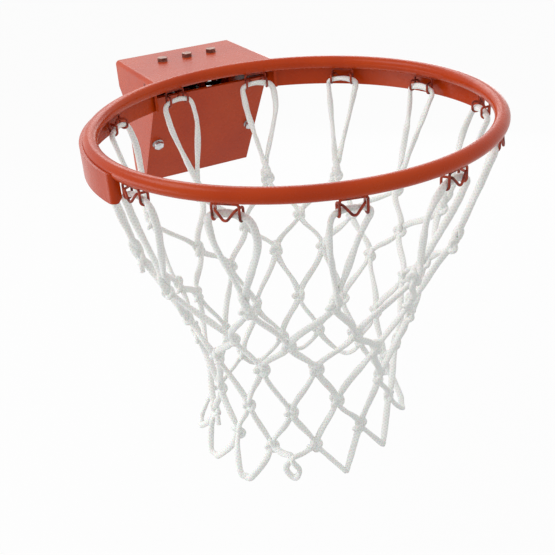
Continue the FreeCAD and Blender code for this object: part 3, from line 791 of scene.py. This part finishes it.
def makeSpringTree():
    tree, sizes = newTree("Compression springs", [("Wire", "Float", 0.005), ("Sides", "Int", 12)])
    half = addNode(tree, "ShaderNodeMath", {0: sizes["Wire"], 1: 0.5}, operation="MULTIPLY")
    section = addNode(tree, "GeometryNodeCurvePrimitiveCircle",
                      {"Resolution": sizes["Sides"], "Radius": half.outputs[0]})
    wire = addNode(tree, "GeometryNodeCurveToMesh",
                   {"Curve": sizes["Geometry"], "Profile Curve": section.outputs["Curve"], "Fill Caps": True})
    return endTree(tree, wire.outputs[0], finishes["spring_steel"])


coilSizes = {"Wire": metres(coil["wireMm"]), "Sides": coil["sides"]}
coils = [(coilPath(x, startTurn), False) for x, startTurn in zip(coil["xsMm"], coil["startTurns"])]
springs = bakeTree(pathObject("coilSprings", coils), makeSpringTree(), coilSizes, "coilSprings")
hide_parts("spring_left", "spring_middle", "spring_right")
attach(springs, "spring_bolts")
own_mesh(springs)
print("stage 4: springs wound")


weld = {
    "pitchMm": 1.5,
    "seamMm": 3.6,
    "flatter": 1.4,            # a bead is wider than high by this
    "scaleMin": (0.85, 0.85, 0.85),
    "scaleMax": (1.12, 1.15, 1.1),
    "plateOutMm": 7.1,         # the top plate's seam, out from the bar's middle and up
    "plateUpMm": 1.6,
    "plateTurn": 20.5,         # degrees to each side
    "stitchOutMm": 7.3,        # stitches under the bar, in the corner between it and each wing
    "stitchUpMm": -4.2,
    "stitchStarts": (26, 44, 62, 80, 94),
    "stitchTurn": 4.5,
    "wingXMm": 91.8,           # where each wing's rear end meets the top plate's flange
    "wingYMm": -147.8,
    "wingFootMm": 3.0,
    "wingHeadMm": 2.0,
    "tackOutMm": 0.1,          # each hook is tacked at both ends of its top wire
    "tackAsideMm": 10.5,
    "tackBelowMm": 0.4,        # below the bar
    "tackHalfMm": 2.2,
    "insetMm": 1.2,            # inside the box, from each corner of two plates
    "wallFootMm": 8.0,
    "wallHeadMm": 6.0,
    "shelfEndMm": 6.0,
}


def makeWeldTree():
    # a bead laid as overlapping scales along a path
    tree, sizes = newTree("Weld bead", [("Pitch", "Float", 0.0016), ("Width", "Float", 0.004),
                                        ("Height", "Float", 0.002)])
    path = addNode(tree, "GeometryNodeResampleCurve", {"Curve": sizes["Geometry"], "Length": sizes["Pitch"]},
                   mode="LENGTH")
    scale = addNode(tree, "GeometryNodeMeshUVSphere", {"Segments": 12, "Rings": 7, "Radius": 0.5})
    size = addNode(tree, "ShaderNodeCombineXYZ",
                   {"X": sizes["Width"], "Y": sizes["Height"], "Z": sizes["Width"]})
    tangent = addNode(tree, "GeometryNodeInputTangent").outputs[0]
    aim = addNode(tree, "FunctionNodeAlignRotationToVector", {"Vector": tangent}, axis="Z")
    vary = addNode(tree, "FunctionNodeRandomValue",
                   {"Min": weld["scaleMin"], "Max": weld["scaleMax"], "Seed": 5}, data_type="FLOAT_VECTOR")
    varied = addNode(tree, "ShaderNodeVectorMath", {0: size.outputs[0], 1: vary.outputs[0]},
                     operation="MULTIPLY")
    beads = addNode(tree, "GeometryNodeInstanceOnPoints",
                    {"Points": path.outputs[0], "Instance": scale.outputs["Mesh"],
                     "Rotation": aim.outputs[0], "Scale": varied.outputs[0]})
    return endTree(tree, beads.outputs[0], finishes["orange_coat"])


def ringArc(outMm, upMm, first, last, steps):
    # along the bar, from one angle to another
    points = []
    for i in range(steps + 1):
        angle = first + (last - first) * i / steps
        points.append(ring["centre"] + metres(outward(angle) * (ring["radiusMm"] + outMm) - down * upMm))
    return points


def rimWeldPaths():
    turn = weld["plateTurn"]
    paths = [(ringArc(weld["plateOutMm"], weld["plateUpMm"], -turn, turn, 40), False)]
    for start in weld["stitchStarts"]:
        for side in (1, -1):
            end = start + weld["stitchTurn"]
            stitch = ringArc(weld["stitchOutMm"], weld["stitchUpMm"], side * start, side * end, 8)
            paths.append((stitch, False))
    low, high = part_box("wing_right")
    for side in (-1, 1):
        seam = metres(Vector((side * weld["wingXMm"], weld["wingYMm"], 0.0)))
        foot = seam - down * (low[2] + metres(weld["wingFootMm"]))
        head = seam - down * (high[2] - metres(weld["wingHeadMm"]))
        paths.append(([foot, head], False))
    for angle in hookAngles:
        for sign in (-1, 1):
            base = outward(angle) * (ring["radiusMm"] + weld["tackOutMm"])
            base += sideways(angle) * sign * weld["tackAsideMm"]
            base += down * (ring["barMm"] / 2 + weld["tackBelowMm"])
            half = sideways(angle) * weld["tackHalfMm"]
            paths.append(([ring["centre"] + metres(base + half * end) for end in (-1, 1)], False))
    return paths


def bracketWeldPaths():
    # inside the box: the side plates to the wall plate, and the shelf to the side plates
    low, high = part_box("wall_plate")
    shelfLow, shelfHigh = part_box("spring_shelf")
    inset = metres(weld["insetMm"])
    shelfEnd = metres(weld["shelfEndMm"])
    paths = []
    for side in (-1, 1):
        x = side * (shelfHigh[0] - inset)
        front = low[1] - inset
        foot = low[2] + metres(weld["wallFootMm"])
        head = high[2] - metres(weld["wallHeadMm"])
        paths.append(([Vector((x, front, foot)), Vector((x, front, head))], False))
        under = shelfLow[2] - inset
        seam = [Vector((x, y, under)) for y in (shelfLow[1] + shelfEnd, shelfHigh[1] - shelfEnd)]
        paths.append((seam, False))
    return paths


weldTree = makeWeldTree()
beadWidth = metres(weld["seamMm"])
beadSizes = {"Pitch": metres(weld["pitchMm"]), "Width": beadWidth, "Height": beadWidth / weld["flatter"]}
weldPieces = (("rimWelds", rimWeldPaths(), "rim"), ("bracketWelds", bracketWeldPaths(), "bracket"))
for pieceName, paths, body in weldPieces:
    welds = bakeTree(pathObject(pieceName, paths), weldTree, beadSizes, pieceName)
    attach(welds, body)
    print("stage 5:", pieceName, "laid,", len(welds.data.polygons), "faces")


studio = {
    "floorZ": -0.75,
    "floorReach": 30.0,
    "floor": "cfcfcf",
    "floorGlow": 0.94,         # how much of what the viewer sees of the floor is its own white
    "white": "ffffff",
    "worldLight": 0.77,        # strength of the air's light on the object; seen directly it is 1
}


def seenDirectly(tree):
    # 1 on rays from the camera, straight, mirrored or passed through, and 0 on light that falls on things
    rays = addNode(tree, "ShaderNodeLightPath")
    seen = addNode(tree, "ShaderNodeMath",
                   {0: rays.outputs["Is Camera Ray"], 1: rays.outputs["Is Glossy Ray"]}, operation="MAXIMUM")
    through = addNode(tree, "ShaderNodeMath",
                      {0: seen.outputs[0], 1: rays.outputs["Is Transmission Ray"]}, operation="MAXIMUM")
    return through.outputs[0]


def makeFloor():
    material, tree, shader = newMaterial("Pale studio floor", Base_Color=paint(studio["floor"]),
                                         Roughness=0.9)
    share = addNode(tree, "ShaderNodeMath", {0: seenDirectly(tree), 1: studio["floorGlow"]},
                    operation="MULTIPLY")
    glow = addNode(tree, "ShaderNodeEmission", {"Color": paint(studio["white"]), "Strength": 1.0})
    both = addNode(tree, "ShaderNodeMixShader",
                   {0: share.outputs[0], 1: shader.outputs[0], 2: glow.outputs[0]})
    tree.links.new(both.outputs[0], tree.nodes["Material Output"].inputs["Surface"])
    reach = studio["floorReach"]
    corners = [(x * reach, y * reach, studio["floorZ"]) for x, y in ((-1, -1), (1, -1), (1, 1), (-1, 1))]
    mesh = bpy.data.meshes.new("studioFloor")
    mesh.from_pydata(corners, [], [(0, 1, 2, 3)])
    mesh.materials.append(material)
    floor = bpy.data.objects.new("studioFloor", mesh)
    bpy.context.scene.collection.objects.link(floor)


def makeAir():
    world = bpy.data.worlds.new("Studio air")
    bpy.context.scene.world = world
    world.use_nodes = True
    air = world.node_tree
    level = addNode(air, "ShaderNodeMapRange",
                    {"Value": seenDirectly(air), "To Min": studio["worldLight"], "To Max": 1.0})
    background = air.nodes["Background"]
    background.inputs["Color"].default_value = paint(studio["white"])
    air.links.new(level.outputs[0], background.inputs["Strength"])


lamps = {
    "keySoftbox": {"place": (-1.3, 0.3, 1.7), "target": (0.0, -0.3, 0.0), "size": (1.4, 1.0), "power": 15.0},
    "backSoftbox": {"place": (0.7, 1.6, 1.25), "target": (0.0, -0.2, 0.1), "size": (1.6, 0.7), "power": 12.0},
    "sideSoftbox": {"place": (-1.75, 0.25, -0.33), "target": (-0.1, -0.35, 0.05), "size": (1.7, 0.7),
                    "power": 10.0},
    "rightSoftbox": {"place": (1.6, 1.5, -0.05), "target": (0.1, -0.3, 0.05), "size": (1.3, 0.9),
                     "power": 7.0},
}


def aimed(place, target):
    # turns a lamp's or camera's own -Z towards its target
    return (Vector(target) - Vector(place)).to_track_quat("-Z", "Y")


def addLamp(name, place, target, size, power):
    lamp = bpy.data.lights.new(name, "AREA")
    lamp.shape = "RECTANGLE"
    lamp.size, lamp.size_y = size
    lamp.energy = power
    made = bpy.data.objects.new(name, lamp)
    made.location = place
    made.rotation_euler = aimed(place, target).to_euler()
    made.visible_camera = False
    bpy.context.scene.collection.objects.link(made)


makeFloor()
makeAir()
for lampName, lampSettings in lamps.items():
    addLamp(lampName, **lampSettings)

view = {
    "place": (-0.4567, -1.2519, 0.4178),
    "target": (-0.0373, -0.3769, -0.1004),
    "rollDegrees": -4.34,
    "lensMm": 57.4,
    "sensorMm": 36.0,
}
lens = bpy.data.cameras.new("viewCamera")
lens.lens = view["lensMm"]
lens.sensor_width = view["sensorMm"]
camera = bpy.data.objects.new("viewCamera", lens)
roll = Matrix.Rotation(math.radians(view["rollDegrees"]), 4, "Z")
aim = aimed(view["place"], view["target"]).to_matrix().to_4x4()
camera.matrix_world = Matrix.Translation(view["place"]) @ aim @ roll
bpy.context.scene.collection.objects.link(camera)
bpy.context.scene.camera = camera
bpy.context.scene.view_settings.view_transform = "Standard"
print("stage 6: studio and camera set")
